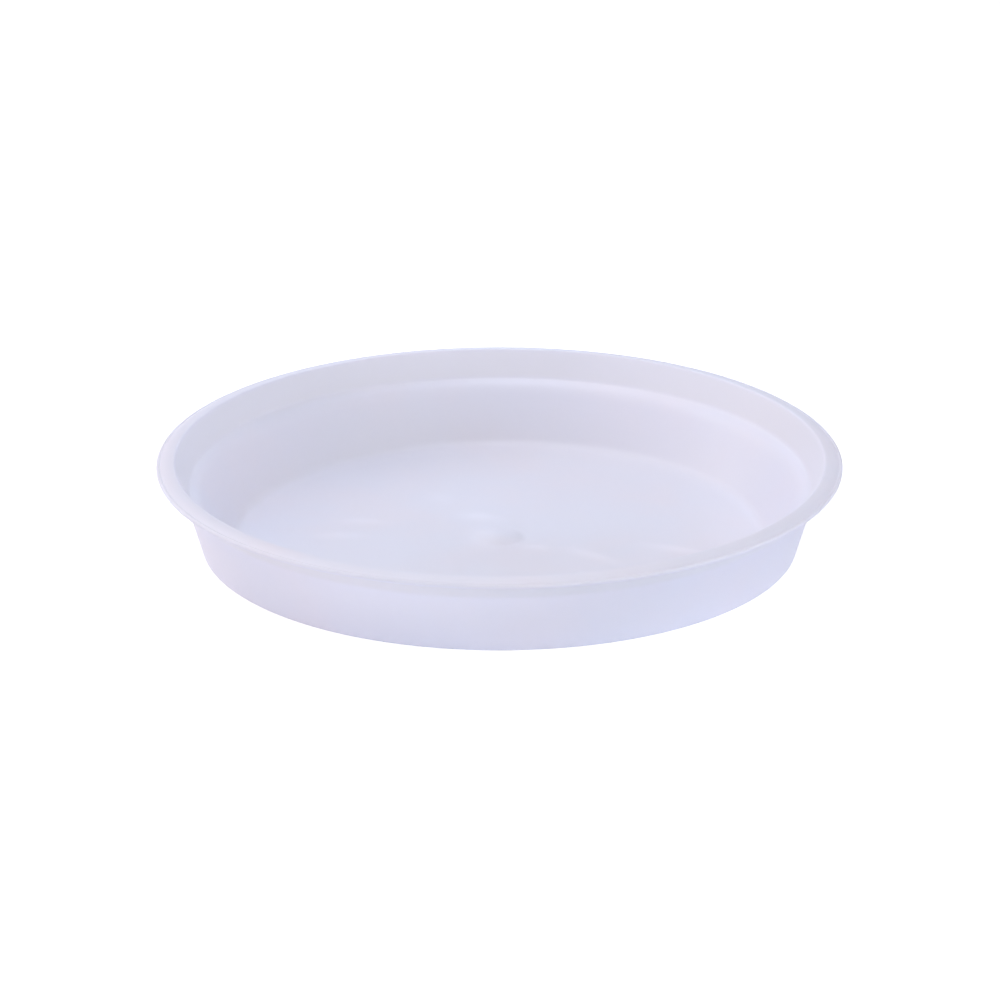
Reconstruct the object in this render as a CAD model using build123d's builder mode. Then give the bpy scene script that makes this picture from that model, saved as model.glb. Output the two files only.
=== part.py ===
from build123d import *
import os
from math import cos, radians, sin, tan

os.makedirs("parts", exist_ok=True)

# A round plant saucer, moulded in one piece: floor, bowl wall, stacking ledge, flared rim and a foot.
# All lengths are in millimetres. The origin is the middle of the face that stands on the table, +Z is up.

# Overall sizes
rim_radius = 100.0  # outermost point of the lip
height = 25.8  # table to the crest of the rim

# Rim: a rounded crest, a lip that curves down and outwards, and a bead along its edge
lip_width = 4.8  # crest to the outermost point
lip_under_angle = 19.0  # degrees that the lip's underside falls outwards
lip_root_round = 0.8
crest_round = 0.8
bead_round = 0.7
bead_drop = 1.7  # crest to the level of the bead's middle
bead_turn = 28.0  # degrees that the bead goes on past its top, down into the groove
bead_groove_round = 0.25

# Band of wall between the crest and the ledge
band_thickness = 1.7
band_angle = 27.85  # degrees that it leans outwards

# Ledge inside the wall, on which the next saucer of a stack sits
ledge_level = 18.0  # table to the foot of the band
ledge_width = 3.2
ledge_fall = 1.4
ledge_root_round = 1.2
ledge_edge_round = 7.0

# Outer wall, and the bowl inside it, which leans further and so stands clear of it at the floor
wall_angle = 16.6  # degrees that the outer face leans outwards
bowl_angle = 34.6  # degrees that the inner face leans outwards
bowl_thickness = 1.6
floor_thickness = 0.9
floor_corner_round = 4.0  # inside corner between floor and bowl

# Foot: the outer wall runs down to the table, with a groove between it and the bowl
foot_depth = 0.3  # how far the floor stands off the table
foot_width = 2.4
foot_draft = 2.0  # degrees
foot_edge_round = 0.3
groove_round = 0.5

# Mark of the moulding gate in the middle of the floor
gate_boss_radius = 7.0
gate_boss_height = 0.6
gate_well_radius = 5.5
gate_well_depth = 0.5
gate_nub_radius = 1.1
gate_nub_height = 0.45
gate_nub_angle = 8.0

lip_under_fall = radians(lip_under_angle)
band_lean = radians(band_angle)
wall_lean = radians(wall_angle)
bowl_lean = radians(bowl_angle)

# The bead ends the lip. Its middle lies as far inside the outermost point as it is round.
crest_middle = Vector(rim_radius - lip_width, height - crest_round)
bead_middle = Vector(rim_radius - bead_round, height - bead_drop)
bead_foot = bead_middle - Vector(sin(lip_under_fall), cos(lip_under_fall)) * bead_round

# The inner face of the band runs straight down from the crest to the ledge
band_start = crest_middle + Vector(-cos(band_lean), sin(band_lean)) * crest_round
band_foot = Vector(band_start.X - (band_start.Y - ledge_level) * tan(band_lean), ledge_level)
band_outer_foot = Vector(band_foot.X + band_thickness / cos(wall_lean), ledge_level)

# The band's outer face rises from there to the underside of the lip
lip_root_rise = (bead_foot.Y - ledge_level + (bead_foot.X - band_outer_foot.X) * tan(lip_under_fall)) / (
    1 + tan(band_lean) * tan(lip_under_fall)
)
lip_root = band_outer_foot + Vector(tan(band_lean), 1) * lip_root_rise

# From the ledge the bowl's inner face runs straight down to the floor
floor_top = foot_depth + floor_thickness
ledge_edge = band_foot - Vector(ledge_width, ledge_fall)
floor_corner = Vector(ledge_edge.X - (ledge_edge.Y - floor_top) * tan(bowl_lean), floor_top)

# Its underside bounds the groove, whose other side is the inner face of the foot
foot_outside = band_outer_foot.X - ledge_level * tan(wall_lean)
foot_inside = foot_outside - foot_width
bowl_under = floor_corner + Vector(cos(bowl_lean), -sin(bowl_lean)) * bowl_thickness
bowl_under_reach = bowl_under.X - bowl_under.Y * tan(bowl_lean)
groove_start = bowl_under_reach + foot_depth * tan(bowl_lean)
groove_slopes = tan(bowl_lean) + tan(radians(foot_draft))
groove_top = (foot_inside - bowl_under_reach) / groove_slopes
groove_side = bowl_under_reach + groove_top * tan(bowl_lean)

# Over the gate a low dome stands on the floor. Under it is a shallow well, with the nub in its middle
# that is left where the sprue broke off, short of the table.
boss_top = floor_top + gate_boss_height
well_top = foot_depth + gate_well_depth
nub_end = well_top - gate_nub_height
nub_end_radius = gate_nub_radius - gate_nub_height * tan(radians(gate_nub_angle))

with BuildPart() as saucer:
    # Half section, turned about the middle
    with BuildSketch(Plane.XZ) as section:
        with BuildLine():
            crest = CenterArc(crest_middle, crest_round, 90, 90 - band_angle)
            FilletPolyline(
                crest @ 1,
                band_foot,
                ledge_edge,
                floor_corner,
                (gate_boss_radius, floor_top),
                radius=[ledge_root_round, ledge_edge_round, floor_corner_round],
            )
            TangentArc((0, boss_top), (gate_boss_radius, floor_top), tangent=(1, 0))
            Polyline((0, boss_top), (0, nub_end), (nub_end_radius, nub_end), (gate_nub_radius, well_top))
            TangentArc((gate_nub_radius, well_top), (gate_well_radius, foot_depth), tangent=(1, 0))
            bead_wrap = 180 + lip_under_angle + bead_turn
            bead = CenterArc(bead_middle, bead_round, -90 - lip_under_angle, bead_wrap)
            FilletPolyline(
                (gate_well_radius, foot_depth),
                (groove_start, foot_depth),
                (groove_side, groove_top),
                (foot_inside, 0),
                (foot_outside, 0),
                band_outer_foot,
                lip_root,
                bead @ 0,
                radius=[
                    foot_edge_round,
                    groove_round,
                    foot_edge_round,
                    foot_edge_round,
                    lip_root_round,
                    lip_root_round,
                ],
            )
            TangentArc(crest @ 0, bead @ 1, tangent=(1, 0))
        make_face()
        fillet(section.vertices().sort_by_distance(bead @ 1)[0], bead_groove_round)
    revolve(axis=Axis.Z)

saucer.part.label = "saucer"
export_step(saucer.part, "parts/saucer.step")
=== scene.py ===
import math
import bpy
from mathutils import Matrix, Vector


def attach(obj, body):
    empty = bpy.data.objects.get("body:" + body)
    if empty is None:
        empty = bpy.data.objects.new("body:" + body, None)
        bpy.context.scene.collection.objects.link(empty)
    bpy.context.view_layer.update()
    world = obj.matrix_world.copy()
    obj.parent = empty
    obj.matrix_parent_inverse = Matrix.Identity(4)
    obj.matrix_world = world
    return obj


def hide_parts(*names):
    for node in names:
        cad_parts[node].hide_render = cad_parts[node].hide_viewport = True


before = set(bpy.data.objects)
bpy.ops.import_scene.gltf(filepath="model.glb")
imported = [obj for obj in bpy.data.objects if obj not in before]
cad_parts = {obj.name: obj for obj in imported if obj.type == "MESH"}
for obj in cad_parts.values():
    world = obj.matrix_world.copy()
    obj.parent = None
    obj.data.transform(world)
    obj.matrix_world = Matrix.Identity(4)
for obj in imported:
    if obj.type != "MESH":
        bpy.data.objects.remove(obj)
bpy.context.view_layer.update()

mm = 0.001
nodeGrid = dict(perRow=12, across=200, down=260)  # how the node editor shows the trees


def addNode(tree, kind, **settings):
    row, column = divmod(len(tree.nodes), nodeGrid["perRow"])
    node = tree.nodes.new(kind)
    node.location = (column * nodeGrid["across"], -row * nodeGrid["down"])
    for key, value in settings.items():
        setattr(node, key, value)
    return node


def feed(tree, socket, value):  # another node's output is linked, anything else is set
    if isinstance(value, bpy.types.NodeSocket):
        tree.links.new(value, socket)
    else:
        socket.default_value = value


def outputOf(tree, kind, inputs, **settings):  # first output of a node whose inputs are fed by name
    node = addNode(tree, kind, **settings)
    for name, value in inputs.items():
        feed(tree, node.inputs[name], value)
    return node.outputs[0]


def mathNode(tree, operation, *values):
    node = addNode(tree, "ShaderNodeMath", operation=operation)
    for socket, value in zip(node.inputs, values):
        feed(tree, socket, value)
    return node.outputs[0]


def combineNode(tree, *values):
    node = addNode(tree, "ShaderNodeCombineXYZ")
    for socket, value in zip(node.inputs, values):
        feed(tree, socket, value)
    return node.outputs[0]


def lengthNode(tree, a, b):  # of the plane vector (a, b)
    squares = [mathNode(tree, "MULTIPLY", side, side) for side in (a, b)]
    return mathNode(tree, "SQRT", mathNode(tree, "ADD", *squares))


def mapRange(tree, value, span, target, curve="LINEAR"):
    names = ("Value", "From Min", "From Max", "To Min", "To Max")
    inputs = dict(zip(names, (value, *span, *target)))
    return outputOf(tree, "ShaderNodeMapRange", inputs, interpolation_type=curve)


def fadeIn(tree, value, span):  # 0 before the span, 1 past it, smooth between
    return mapRange(tree, value, span, (0, 1), "SMOOTHSTEP")


def fadeOut(tree, value, span):
    return mapRange(tree, value, span, (1, 0), "SMOOTHSTEP")


def noiseNode(tree, place, size, detail):  # size in millimetres
    return outputOf(tree, "ShaderNodeTexNoise", {"Vector": place, "Scale": 1 / (size * mm), "Detail": detail})


def metres(span):
    return tuple(value * mm for value in span)


def addObject(name, data):
    item = bpy.data.objects.new(name, data)
    bpy.context.scene.collection.objects.link(item)
    return item


# Camera, at the height and distance worked out from the photo's outline
camera = dict(
    distance=2.0, rise=21.0, lens=245.9, sensor=36.0, nearClip=0.05, farClip=60.0,
    target=(0.00014, 0.00417, 0.01086),
)


def placeCamera(c):
    rise = math.radians(c["rise"])
    spot = Vector((0, -math.cos(rise), math.sin(rise))) * c["distance"]
    data = bpy.data.cameras.new("photoCamera")
    data.lens = c["lens"]
    data.sensor_width = c["sensor"]
    data.clip_start = c["nearClip"]
    data.clip_end = c["farClip"]
    view = addObject("photoCamera", data)
    view.location = spot
    view.rotation_euler = (Vector(c["target"]) - spot).to_track_quat("-Z", "Y").to_euler()
    bpy.context.scene.camera = view


placeCamera(camera)
print("camera placed")


# The shell: its half section in millimetres, and its slopes in degrees
shell = dict(
    rimRadius=100.0, height=25.8,
    lipWidth=4.8, lipUnderSlope=19.0, lipRoot=0.8, crestRound=0.8,
    beadRound=0.7, beadDrop=1.7, beadTurn=28.0, beadGroove=0.25,
    bandThick=1.7, bandLean=27.85,
    ledgeLevel=18.0, ledgeWidth=3.2, ledgeFall=1.4, ledgeRoot=1.2, ledgeEdge=7.0,
    wallLean=16.6, bowlLean=34.6, bowlThick=1.6, floorThick=0.9, floorCorner=4.0,
    footDepth=0.3, footWidth=2.4, footDraft=2.0, footEdge=0.3, grooveRound=0.5,
    bossRadius=7.0, bossHeight=0.6, wellRadius=5.5, wellDepth=0.5,
    nubRadius=1.1, nubHeight=0.45, nubAngle=8.0, nubChip=0.1, nubChipRise=0.08,
)

# How finely it is divided: points round the axis, millimetres between rings, degrees along arcs, and pieces of
# the lip, dome and well. Points nearer than poleGap are merged where the section meets the axis.
division = dict(
    around=360, insideGap=1.3, outsideGap=2.34, arc=9.0, grooveArc=18.0,
    lip=14, dome=14, well=10, poleGap=0.004,
)


def arcPoints(middle, radius, start, sweep, step):
    count = max(2, math.ceil(abs(sweep) / step))
    angles = [math.radians(start + sweep * k / count) for k in range(count + 1)]
    return [Vector((middle.x + radius * math.cos(a), middle.y + radius * math.sin(a))) for a in angles]


def roundedPath(corners, radii, step):  # straight runs with a tangent arc in each inner corner
    path = [corners[0]]
    for before, corner, after, radius in zip(corners, corners[1:], corners[2:], radii):
        back = (before - corner).normalized()
        on = (after - corner).normalized()
        half = back.angle(on) / 2
        middle = corner + (back + on).normalized() * radius / math.sin(half)
        first = corner + back * radius / math.tan(half) - middle
        sweep = math.degrees(first.angle_signed(corner + on * radius / math.tan(half) - middle))
        start = math.degrees(math.atan2(first.y, first.x))
        path += arcPoints(middle, radius, start, -sweep, step)
    return path + [corners[-1]]


def domeArc(start, top, reach, drop, count):  # an arc that starts level at its top and falls by drop
    curve = (reach ** 2 + drop ** 2) / (2 * drop)
    steps = [reach * k / count for k in range(count + 1)]
    return [Vector((start + r, top - curve + math.sqrt(curve ** 2 - r ** 2))) for r in steps]


def subdivided(path, gap):  # more rings, so that the flat floor can carry its waves
    dense = [path[0]]
    for a, b in zip(path, path[1:]):
        pieces = max(1, round((b - a).length / gap))
        dense += [a.lerp(b, k / pieces) for k in range(1, pieces + 1)]
    return dense


def gateUnderside(s):  # the broken nub in the middle, and the shallow well round it
    wellTop = s["footDepth"] + s["wellDepth"]
    nubEnd = wellTop - s["nubHeight"]
    nubEndRadius = s["nubRadius"] - s["nubHeight"] * math.tan(math.radians(s["nubAngle"]))
    nub = [
        (0, nubEnd), (nubEndRadius - s["nubChip"], nubEnd),
        (nubEndRadius, nubEnd + s["nubChipRise"]), (s["nubRadius"], wellTop),
    ]
    wellReach = s["wellRadius"] - s["nubRadius"]
    well = domeArc(s["nubRadius"], wellTop, wellReach, s["wellDepth"], division["well"])
    return [Vector(point) for point in nub] + well[1:]


def rimCorners(s):
    # The band's inner face runs from the crest down to the ledge, and its outer face up to the lip's underside
    under, band, wall = [math.radians(s[name]) for name in ("lipUnderSlope", "bandLean", "wallLean")]
    crest = Vector((s["rimRadius"] - s["lipWidth"], s["height"] - s["crestRound"]))
    bead = Vector((s["rimRadius"] - s["beadRound"], s["height"] - s["beadDrop"]))
    beadFoot = bead - Vector((math.sin(under), math.cos(under))) * s["beadRound"]
    bandTop = crest + Vector((-math.cos(band), math.sin(band))) * s["crestRound"]
    bandFoot = Vector((bandTop.x - (bandTop.y - s["ledgeLevel"]) * math.tan(band), s["ledgeLevel"]))
    bandBack = bandFoot + Vector((s["bandThick"] / math.cos(wall), 0))
    climb = beadFoot.y - bandBack.y + (beadFoot.x - bandBack.x) * math.tan(under)
    lipRoot = bandBack + Vector((math.tan(band), 1)) * climb / (1 + math.tan(band) * math.tan(under))
    return dict(
        crest=crest, bead=bead, beadFoot=beadFoot, bandFoot=bandFoot, bandBack=bandBack, lipRoot=lipRoot,
    )


def bowlCorners(s, rim):
    # The bowl runs from the ledge down to the floor, and its underside bounds the groove inside the foot
    wall, bowl, draft = [math.radians(s[name]) for name in ("wallLean", "bowlLean", "footDraft")]
    floorTop = s["footDepth"] + s["floorThick"]
    ledgeEdge = rim["bandFoot"] - Vector((s["ledgeWidth"], s["ledgeFall"]))
    floorCorner = Vector((ledgeEdge.x - (ledgeEdge.y - floorTop) * math.tan(bowl), floorTop))
    footOut = rim["bandBack"].x - s["ledgeLevel"] * math.tan(wall)
    footIn = footOut - s["footWidth"]
    bowlBack = floorCorner + Vector((math.cos(bowl), -math.sin(bowl))) * s["bowlThick"]
    reach = bowlBack.x - bowlBack.y * math.tan(bowl)
    grooveTop = (footIn - reach) / (math.tan(bowl) + math.tan(draft))
    return dict(
        floorTop=floorTop, ledgeEdge=ledgeEdge, floorCorner=floorCorner,
        footOut=Vector((footOut, 0)), footIn=Vector((footIn, 0)),
        grooveStart=Vector((reach + s["footDepth"] * math.tan(bowl), s["footDepth"])),
        grooveTop=Vector((reach + grooveTop * math.tan(bowl), grooveTop)),
    )


def rimCurve(s, rim):  # the bead, the lip and the crest
    wrap = 180 + s["lipUnderSlope"] + s["beadTurn"]
    bead = arcPoints(rim["bead"], s["beadRound"], -90 - s["lipUnderSlope"], wrap, division["arc"])
    reach, fall = bead[-1].x - rim["crest"].x, s["height"] - bead[-1].y
    lip = domeArc(rim["crest"].x, s["height"], reach, fall, division["lip"])[::-1]

    # A small groove replaces the points where the bead and the lip meet
    groove = roundedPath([bead[-3], bead[-1], lip[1]], [s["beadGroove"]], division["grooveArc"])
    crest = arcPoints(rim["crest"], s["crestRound"], 90, 90 - s["bandLean"], division["arc"])
    return bead[1:-3] + groove + lip[2:] + crest[1:]


def halfSection(s):  # from the middle underneath, out and round the rim, and back to the middle on top
    rim = rimCorners(s)
    bowl = bowlCorners(s, rim)
    outside = [
        Vector((s["wellRadius"], s["footDepth"])), bowl["grooveStart"], bowl["grooveTop"], bowl["footIn"],
        bowl["footOut"], rim["bandBack"], rim["lipRoot"], rim["beadFoot"],
    ]
    rounds = [s["footEdge"], s["grooveRound"], s["footEdge"], s["footEdge"], s["lipRoot"], s["lipRoot"]]
    outside = subdivided(roundedPath(outside, rounds, division["arc"]), division["outsideGap"])
    edge = rimCurve(s, rim)
    floorEnd = Vector((s["bossRadius"], bowl["floorTop"]))
    inside = [edge[-1], rim["bandFoot"], bowl["ledgeEdge"], bowl["floorCorner"], floorEnd]
    rounds = [s["ledgeRoot"], s["ledgeEdge"], s["floorCorner"]]
    inside = subdivided(roundedPath(inside, rounds, division["arc"]), division["insideGap"])
    dome = domeArc(0, bowl["floorTop"] + s["bossHeight"], s["bossRadius"], s["bossHeight"], division["dome"])
    return gateUnderside(s) + outside[1:] + edge[:-1] + inside + dome[-2::-1]


# Unevenness of the moulding, in millimetres: the floor's long waves and small puckers, its dish, which sags in
# the middle and rises towards the corner, and the marks where the plastic flowed from the gate. Of a pair, the
# first is where something starts to change and the second where it is done.
unevenness = dict(
    seed=4.0, waveHeight=0.07, waveSize=26.0, pucker=0.05, puckerSize=9.0, puckerShift=3.7, noiseDetail=1.5,
    floorEdge=73.0, fadeShare=0.9, upperFace=(0.9, 1.1),
    dishSag=0.20, dishHeight=0.62, dishStart=61.0, dishEnd=77.0, dishEbb=(76.5, 83.0),
    markFall=1.2,
    flowMarks=[  # middle, heading in degrees, length, width and height
        ((-4.2, -2.2), 90, 17, 9.0, 0.50), ((8.0, -1.0), -78, 18, 5.5, -0.28),
        ((10.6, -9.1), -30, 9, 5.5, 0.42), ((27.5, -16.4), -41, 20, 6.0, 0.44),
        ((51.8, -11.0), -25, 18, 5.2, 0.48), ((-5.5, 15.5), 160, 15, 7.5, 0.36),
        ((-17.7, 31.5), 129, 11, 9.0, 0.15), ((-39.4, 11.8), 176, 15, 6.0, 0.32),
        ((-46.6, 0.4), 181, 16, 6.0, 0.30),
    ],
)
groupInputs = {
    "Wave Height": "waveHeight", "Wave Size": "waveSize", "Pucker": "pucker", "Pucker Size": "puckerSize",
    "Floor Edge": "floorEdge", "Seed": "seed", "Dish Sag": "dishSag", "Dish Height": "dishHeight",
    "Dish Start": "dishStart", "Dish End": "dishEnd",
}


def turnedSection(tree, given):
    # The sweep goes round a circle of radius 1, so the section is set in by 1 first
    setIn = {"Geometry": given["Geometry"], "Translation": (-1, 0, 0), "Scale": (1, -1, 1)}
    section = outputOf(tree, "GeometryNodeTransform", setIn)
    circle = outputOf(tree, "GeometryNodeCurvePrimitiveCircle", {"Radius": 1, "Resolution": given["Around"]})
    swept = outputOf(tree, "GeometryNodeCurveToMesh", {"Curve": circle, "Profile Curve": section})
    poles = {"Geometry": swept, "Distance": division["poleGap"] * mm}
    return outputOf(tree, "GeometryNodeMergeByDistance", poles)


def floorWaves(tree, given, x, y, u):  # long waves, and small puckers between them
    flat = combineNode(tree, x, y, 0)
    heights = []
    waves = [("Wave Height", "Wave Size", 0.0), ("Pucker", "Pucker Size", u["puckerShift"])]
    for height, size, shift in waves:
        inputs = {
            "Vector": flat, "Scale": mathNode(tree, "DIVIDE", 1 / mm, given[size]),
            "W": mathNode(tree, "ADD", given["Seed"], shift), "Detail": u["noiseDetail"],
        }
        noise = outputOf(tree, "ShaderNodeTexNoise", inputs, noise_dimensions="4D")
        heights.append(mathNode(tree, "MULTIPLY", mathNode(tree, "SUBTRACT", noise, 0.5), given[height]))
    return mathNode(tree, "ADD", *heights)


def flowRidges(tree, x, y, u):  # each mark is a soft ridge, or a dent where its height is below 0
    total = 0.0
    for (markX, markY), heading, length, width, height in u["flowMarks"]:
        cosine, sine = math.cos(math.radians(heading)), math.sin(math.radians(heading))
        dx, dy = mathNode(tree, "SUBTRACT", x, markX * mm), mathNode(tree, "SUBTRACT", y, markY * mm)
        along = mathNode(tree, "MULTIPLY_ADD", dy, sine, mathNode(tree, "MULTIPLY", dx, cosine))
        across = mathNode(tree, "MULTIPLY_ADD", dx, -sine, mathNode(tree, "MULTIPLY", dy, cosine))
        a = mathNode(tree, "DIVIDE", along, length * mm / 2)
        b = mathNode(tree, "DIVIDE", across, width * mm / 2)
        far = mathNode(tree, "MULTIPLY_ADD", a, a, mathNode(tree, "MULTIPLY", b, b))
        bump = mathNode(tree, "EXPONENT", mathNode(tree, "MULTIPLY", far, -u["markFall"]))
        total = mathNode(tree, "MULTIPLY_ADD", bump, height, total)
    return total


def floorDish(tree, given, radius, u):  # gone again before the foot, which stays flat on the table
    rising = [mathNode(tree, "MULTIPLY", given[name], mm) for name in ("Dish Start", "Dish End")]
    rise = mapRange(tree, radius, rising, (0, given["Dish Height"]), "SMOOTHSTEP")
    ebb = fadeOut(tree, radius, metres(u["dishEbb"]))
    return mathNode(tree, "MULTIPLY", mathNode(tree, "SUBTRACT", rise, given["Dish Sag"]), ebb)


def shellTree(u):  # turns the section and shifts its points by the unevenness
    tree = bpy.data.node_groups.new("turnedShell", "GeometryNodeTree")
    face = tree.interface
    face.new_socket("Geometry", in_out="INPUT", socket_type="NodeSocketGeometry")
    face.new_socket("Around", in_out="INPUT", socket_type="NodeSocketInt")
    for name in groupInputs:
        face.new_socket(name, in_out="INPUT", socket_type="NodeSocketFloat")
    face.new_socket("Plastic", in_out="INPUT", socket_type="NodeSocketMaterial")
    face.new_socket("Geometry", in_out="OUTPUT", socket_type="NodeSocketGeometry")
    given = addNode(tree, "NodeGroupInput").outputs
    place = addNode(tree, "GeometryNodeInputPosition").outputs[0]
    parts = addNode(tree, "ShaderNodeSeparateXYZ")
    feed(tree, parts.inputs[0], place)
    x, y, z = parts.outputs
    radius = lengthNode(tree, x, y)

    # Waves and marks fade out before the corner of the floor, and only its upper face has the marks
    edge = [mathNode(tree, "MULTIPLY", given["Floor Edge"], share * mm) for share in (u["fadeShare"], 1)]
    onFloor = fadeOut(tree, radius, edge)
    marks = mathNode(tree, "MULTIPLY", flowRidges(tree, x, y, u), fadeIn(tree, z, metres(u["upperFace"])))
    waves = mathNode(tree, "MULTIPLY", mathNode(tree, "ADD", floorWaves(tree, given, x, y, u), marks), onFloor)
    height = mathNode(tree, "ADD", waves, floorDish(tree, given, radius, u))
    lift = combineNode(tree, 0, 0, mathNode(tree, "MULTIPLY", height, mm))

    # The material reads the marks' height as a point attribute, to paint a highlight on the raised marks and
    # shade in the dents
    shape = turnedSection(tree, given)
    shape = outputOf(tree, "GeometryNodeSetPosition", {"Geometry": shape, "Offset": lift})
    marksHeight = {"Geometry": shape, "Name": "marksHeight", "Value": mathNode(tree, "MULTIPLY", marks, onFloor)}
    shape = outputOf(tree, "GeometryNodeStoreNamedAttribute", marksHeight, data_type="FLOAT", domain="POINT")
    shape = outputOf(tree, "GeometryNodeSetShadeSmooth", {"Geometry": shape})
    shape = outputOf(tree, "GeometryNodeRealizeInstances", {"Geometry": shape})
    shape = outputOf(tree, "GeometryNodeSetMaterial", {"Geometry": shape, "Material": given["Plastic"]})
    feed(tree, addNode(tree, "NodeGroupOutput").inputs["Geometry"], shape)
    return tree


def turnShell(s, u, plastic):
    curve = bpy.data.curves.new("halfSection", "CURVE")
    curve.dimensions = "3D"
    points = halfSection(s)
    line = curve.splines.new("POLY")
    line.points.add(len(points) - 1)
    for spot, p in zip(line.points, points):
        spot.co = (p.x * mm, p.y * mm, 0, 1)
    source = addObject("halfSection", curve)
    tree = shellTree(u)
    nodes = source.modifiers.new("turn", "NODES")
    nodes.node_group = tree
    sockets = {item.name: item.identifier for item in tree.interface.items_tree if item.in_out == "INPUT"}
    values = {name: u[key] for name, key in groupInputs.items()}
    for name, value in {**values, "Around": division["around"], "Plastic": plastic}.items():
        nodes[sockets[name]] = value
    graph = bpy.context.evaluated_depsgraph_get()
    mesh = bpy.data.meshes.new_from_object(source.evaluated_get(graph), depsgraph=graph)
    bpy.data.objects.remove(source)
    mesh.name = "saucerShell"
    return addObject("saucerShell", mesh)


# White polypropylene with a cool cast, a soft gloss and a little light inside it. Lengths are in millimetres.
# Of a pair, the first is where something starts to change and the second where it is done.
plasticLook = dict(
    tint=(0.795, 0.805, 0.927), warmTint=(0.818, 0.802, 0.907),
    # The marks' height span and shade share paint raised flow marks paler and their dents darker: painted
    # highlight and painted shade
    cloudSize=42.0, cloudDetail=3, cloudBlend=(0.38, 0.72), markShadeSpan=0.4, markPaintedShade=0.055,
    # The band's tint is a painted shade, greyer and less blue than the rest of the plastic
    bandShadeTint=(0.798, 0.798, 0.878), bandLevel=(17.0, 19.2), lipStart=(94.0, 95.2),
    roughness=0.50, roughSpread=0.08, roughBlend=(0.3, 0.7), ior=1.49,
    glow=0.10, glowDepth=1.6, glowTint=(1.0, 0.95, 1.0),
    scuffTint=(0.62, 0.62, 0.70), scuffRough=0.25, scuffSize=1.4, scuffDetail=5, scuffBlend=(0.5, 0.72),
    footLevel=(0.1, 0.6), footRing=(83.0, 84.2), reliefDetail=2,
    grainSize=0.55, grainHeight=0.012, turningGap=0.42, turningHeight=0.010, turningDrift=0.2,
    flowWidth=5.0, flowHeight=0.03, flowStretch=0.12, flowCircle=50.0, flowLevel=(2.0, 6.0),
    partingLevel=24.1, partingWidth=(0.03, 0.10), partingRing=(99.4, 99.7), partingHeight=0.04,
    pinCircle=48.0, pinCount=6, pinEdge=(2.72, 3.36), pinDepth=0.18, pinLevel=(0.6, 0.8),
)


def mixColours(tree, share, first, second):
    node = addNode(tree, "ShaderNodeMix", data_type="RGBA")
    for slot, value in ((0, share), (6, first), (7, second)):  # the slots that a mix of colours uses
        feed(tree, node.inputs[slot], (*value, 1) if isinstance(value, tuple) else value)
    return node.outputs[2]


def surfacePoint(tree):  # its place, level, distance from the axis, and angle round it
    place = addNode(tree, "ShaderNodeTexCoord").outputs["Object"]
    parts = addNode(tree, "ShaderNodeSeparateXYZ")
    feed(tree, parts.inputs[0], place)
    x, y, z = parts.outputs
    return dict(place=place, level=z, radius=lengthNode(tree, x, y), angle=mathNode(tree, "ARCTAN2", y, x))


def scuffedFoot(tree, look, point):  # where the foot has been slid about on a table
    specks = noiseNode(tree, point["place"], look["scuffSize"], look["scuffDetail"])
    low = fadeOut(tree, point["level"], metres(look["footLevel"]))
    onFoot = mathNode(tree, "MULTIPLY", low, fadeIn(tree, point["radius"], metres(look["footRing"])))
    return mathNode(tree, "MULTIPLY", fadeIn(tree, specks, look["scuffBlend"]), onFoot)


def plasticColour(tree, look, point, cloud, worn):
    # Cool and warm clouds, paler on the raised flow marks and darker in their dents: a painted highlight and a
    # painted shade that follow the marks' height
    clouded = mixColours(tree, fadeIn(tree, cloud, look["cloudBlend"]), look["tint"], look["warmTint"])
    markHeightHere = addNode(tree, "ShaderNodeAttribute", attribute_name="marksHeight").outputs["Fac"]
    markShadeRange = (1 - look["markPaintedShade"], 1 + look["markPaintedShade"])
    paintedMarkLight = mapRange(tree, markHeightHere, (-look["markShadeSpan"], look["markShadeSpan"]), markShadeRange)
    markShaded = addNode(tree, "ShaderNodeVectorMath", operation="SCALE")
    feed(tree, markShaded.inputs[0], clouded)
    feed(tree, markShaded.inputs["Scale"], paintedMarkLight)

    # Less blue in the thin band between the ledge and the lip, a painted shade, and greyed where the foot is
    # scuffed
    aboveLedge = fadeIn(tree, point["level"], metres(look["bandLevel"]))
    onShadedBand = mathNode(tree, "MULTIPLY", aboveLedge, fadeOut(tree, point["radius"], metres(look["lipStart"])))
    bandShaded = mixColours(tree, onShadedBand, markShaded.outputs[0], look["bandShadeTint"])
    return mixColours(tree, worn, bandShaded, look["scuffTint"])


def plasticRoughness(tree, look, cloud, worn):  # uneven in soft patches, duller where the foot is scuffed
    spread = (look["roughness"] - look["roughSpread"] / 2, look["roughness"] + look["roughSpread"] / 2)
    patches = mapRange(tree, cloud, look["roughBlend"], spread)
    return mathNode(tree, "MULTIPLY_ADD", worn, look["scuffRough"], patches)


def turningRings(tree, look, point):  # left in the steel of the mould, and a little off round
    drift = mathNode(tree, "MULTIPLY", point["angle"], look["turningDrift"] * mm)
    turned = combineNode(tree, point["radius"], point["level"], drift)
    return noiseNode(tree, turned, look["turningGap"], look["reliefDetail"])


def flowStreaks(tree, look, point):  # run outwards over the floor and the foot of the bowl
    outwards = mathNode(tree, "MULTIPLY", point["radius"], look["flowStretch"])
    aroundAxis = mathNode(tree, "MULTIPLY", point["angle"], look["flowCircle"] * mm)
    streaked = combineNode(tree, outwards, aroundAxis, point["level"])
    streaks = noiseNode(tree, streaked, look["flowWidth"], look["reliefDetail"])
    return mathNode(tree, "MULTIPLY", streaks, fadeOut(tree, point["level"], metres(look["flowLevel"])))


def partingLine(tree, look, point):  # round the bead, where the two halves of the mould met
    away = mathNode(tree, "ABSOLUTE", mathNode(tree, "SUBTRACT", point["level"], look["partingLevel"] * mm))
    atEdge = fadeIn(tree, point["radius"], metres(look["partingRing"]))
    return mathNode(tree, "MULTIPLY", fadeOut(tree, away, metres(look["partingWidth"])), atEdge)


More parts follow.
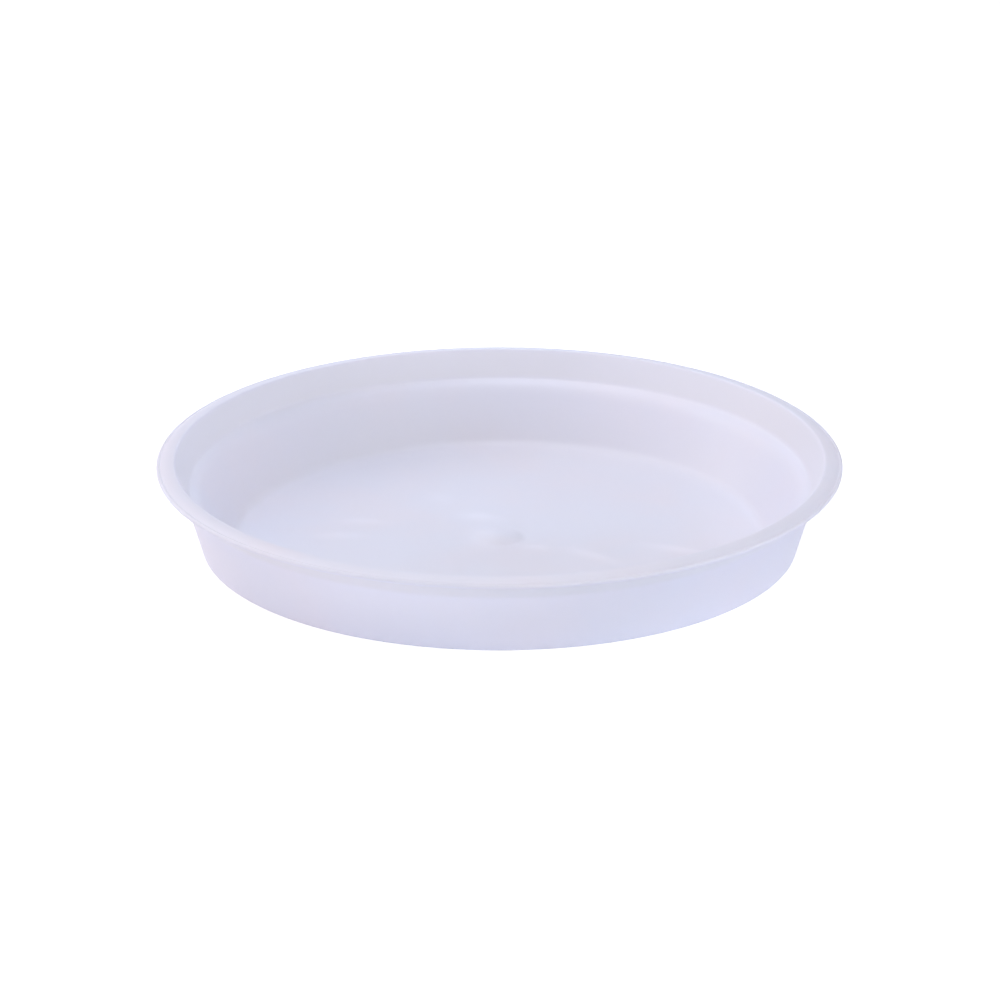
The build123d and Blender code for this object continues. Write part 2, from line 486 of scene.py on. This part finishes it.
def pinMarks(tree, look, point):  # underneath, where the ejector pins pushed
    circle = look["pinCircle"] * mm
    half = math.pi / look["pinCount"]
    across = mathNode(tree, "MULTIPLY", mathNode(tree, "WRAP", point["angle"], half, -half), circle)
    along = mathNode(tree, "SUBTRACT", point["radius"], circle)
    pins = fadeOut(tree, lengthNode(tree, across, along), metres(look["pinEdge"]))
    return mathNode(tree, "MULTIPLY", pins, fadeOut(tree, point["level"], metres(look["pinLevel"])))


def plasticRelief(tree, look, point):  # heights in millimetres, turned into a normal
    grain = noiseNode(tree, point["place"], look["grainSize"], look["reliefDetail"])
    layers = [
        (grain, look["grainHeight"]),
        (turningRings(tree, look, point), look["turningHeight"]),
        (flowStreaks(tree, look, point), look["flowHeight"]),
        (partingLine(tree, look, point), look["partingHeight"]),
        (pinMarks(tree, look, point), -look["pinDepth"]),
    ]
    relief = 0.0
    for layer, height in layers:
        relief = mathNode(tree, "MULTIPLY_ADD", layer, height, relief)
    return outputOf(tree, "ShaderNodeBump", {"Strength": 1.0, "Distance": mm, "Height": relief})


def whitePlastic(look):
    material = bpy.data.materials.new("whitePolypropylene")
    material.use_nodes = True
    tree = material.node_tree
    skin = tree.nodes["Principled BSDF"]
    point = surfacePoint(tree)
    cloud = noiseNode(tree, point["place"], look["cloudSize"], look["cloudDetail"])
    worn = scuffedFoot(tree, look, point)
    finish = {
        "Base Color": plasticColour(tree, look, point, cloud, worn),
        "Roughness": plasticRoughness(tree, look, cloud, worn),
        "Normal": plasticRelief(tree, look, point),
        "IOR": look["ior"],
        "Subsurface Weight": look["glow"],
        "Subsurface Scale": look["glowDepth"] * mm,
        "Subsurface Radius": look["glowTint"],
    }
    for name, value in finish.items():
        feed(tree, skin.inputs[name], value)
    return material


saucerShell = turnShell(shell, unevenness, whitePlastic(plasticLook))
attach(saucerShell, "root")
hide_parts("saucer")
print("shell turned:", len(saucerShell.data.vertices), "points")


# Floor: white all round, and it keeps the saucer's shadow
floorLook = dict(size=16.0, colour=(0.86, 0.86, 0.86), roughness=0.8, specular=0.1, lift=0.60)
white = (1, 1, 1, 1)


def layFloor(look):
    half = look["size"] / 2
    corners = [(-half, -half, 0), (half, -half, 0), (half, half, 0), (-half, half, 0)]
    mesh = bpy.data.meshes.new("studioFloor")
    mesh.from_pydata(corners, [], [(0, 1, 2, 3)])
    floor = addObject("studioFloor", mesh)
    material = bpy.data.materials.new("studioFloor")
    material.use_nodes = True
    tree = material.node_tree
    rays = addNode(tree, "ShaderNodeLightPath").outputs
    seen = mathNode(tree, "MAXIMUM", rays["Is Camera Ray"], rays["Is Glossy Ray"])
    finish = {
        "Base Color": (*look["colour"], 1),
        "Roughness": look["roughness"],
        "Specular IOR Level": look["specular"],
        "Emission Color": white,
        "Emission Strength": mathNode(tree, "MULTIPLY", seen, look["lift"]),
    }
    for name, value in finish.items():
        feed(tree, tree.nodes["Principled BSDF"].inputs[name], value)
    mesh.materials.append(material)


layFloor(floorLook)


# Lamps: compass angle (0 in front, 90 right, 180 behind, 270 left), height angle, distance, width, watts and
# colour
lampSet = dict(
    front=(0, 30, 1.0, 0.40, 1.48, (1.0, 0.87, 0.67)),
    frontLow=(30, 8, 1.0, 0.35, 3.19, (0.69, 0.81, 1.0)),
    rightHigh=(60, 50, 1.0, 0.40, 2.02, (1.0, 0.93, 0.80)),
    right=(90, 8, 1.0, 0.35, 2.05, (0.82, 0.83, 1.0)),
    leftLow=(300, 8, 1.0, 0.35, 3.34, (0.94, 0.91, 1.0)),
    backLeft=(240, 30, 1.0, 0.40, 2.16, (1.0, 0.91, 0.77)),
    backLeftHigh=(240, 50, 1.0, 0.40, 2.16, (0.87, 0.86, 1.0)),
    top=(180, 70, 1.0, 0.40, 2.73, (0.86, 0.90, 1.0)),
    backClose=(180, 30, 0.45, 0.20, 0.25, (0.50, 0.68, 1.0)),
)


def hangLamps(lamps):
    for name, (compass, height, distance, width, watts, colour) in lamps.items():
        turn, lift = math.radians(compass), math.radians(height)
        level = math.cos(lift)
        spot = Vector((math.sin(turn) * level, -math.cos(turn) * level, math.sin(lift))) * distance
        data = bpy.data.lights.new(name, "AREA")
        data.shape = "DISK"
        data.size = width
        data.energy = watts
        data.color = colour
        lamp = addObject(name, data)
        lamp.location = spot
        lamp.rotation_euler = (-spot).to_track_quat("-Z", "Y").to_euler()


# World: gives no light, and is white where the camera sees it straight, mirrored or through something
surround = dict(light=0.0, background=1.0)


def fillWorld(s):
    world = bpy.data.worlds.new("whiteStudio")
    bpy.context.scene.world = world
    world.use_nodes = True
    tree = world.node_tree
    rays = addNode(tree, "ShaderNodeLightPath").outputs
    seen = mathNode(tree, "MAXIMUM", rays["Is Camera Ray"], rays["Is Glossy Ray"])
    seen = mathNode(tree, "MAXIMUM", seen, rays["Is Transmission Ray"])
    backdrop = tree.nodes["Background"].inputs
    feed(tree, backdrop["Color"], white)
    feed(tree, backdrop["Strength"], mapRange(tree, seen, (0, 1), (s["light"], s["background"])))


hangLamps(lampSet)
fillWorld(surround)
bpy.context.scene.view_settings.view_transform = "Standard"
print("floor, lamps and world ready")
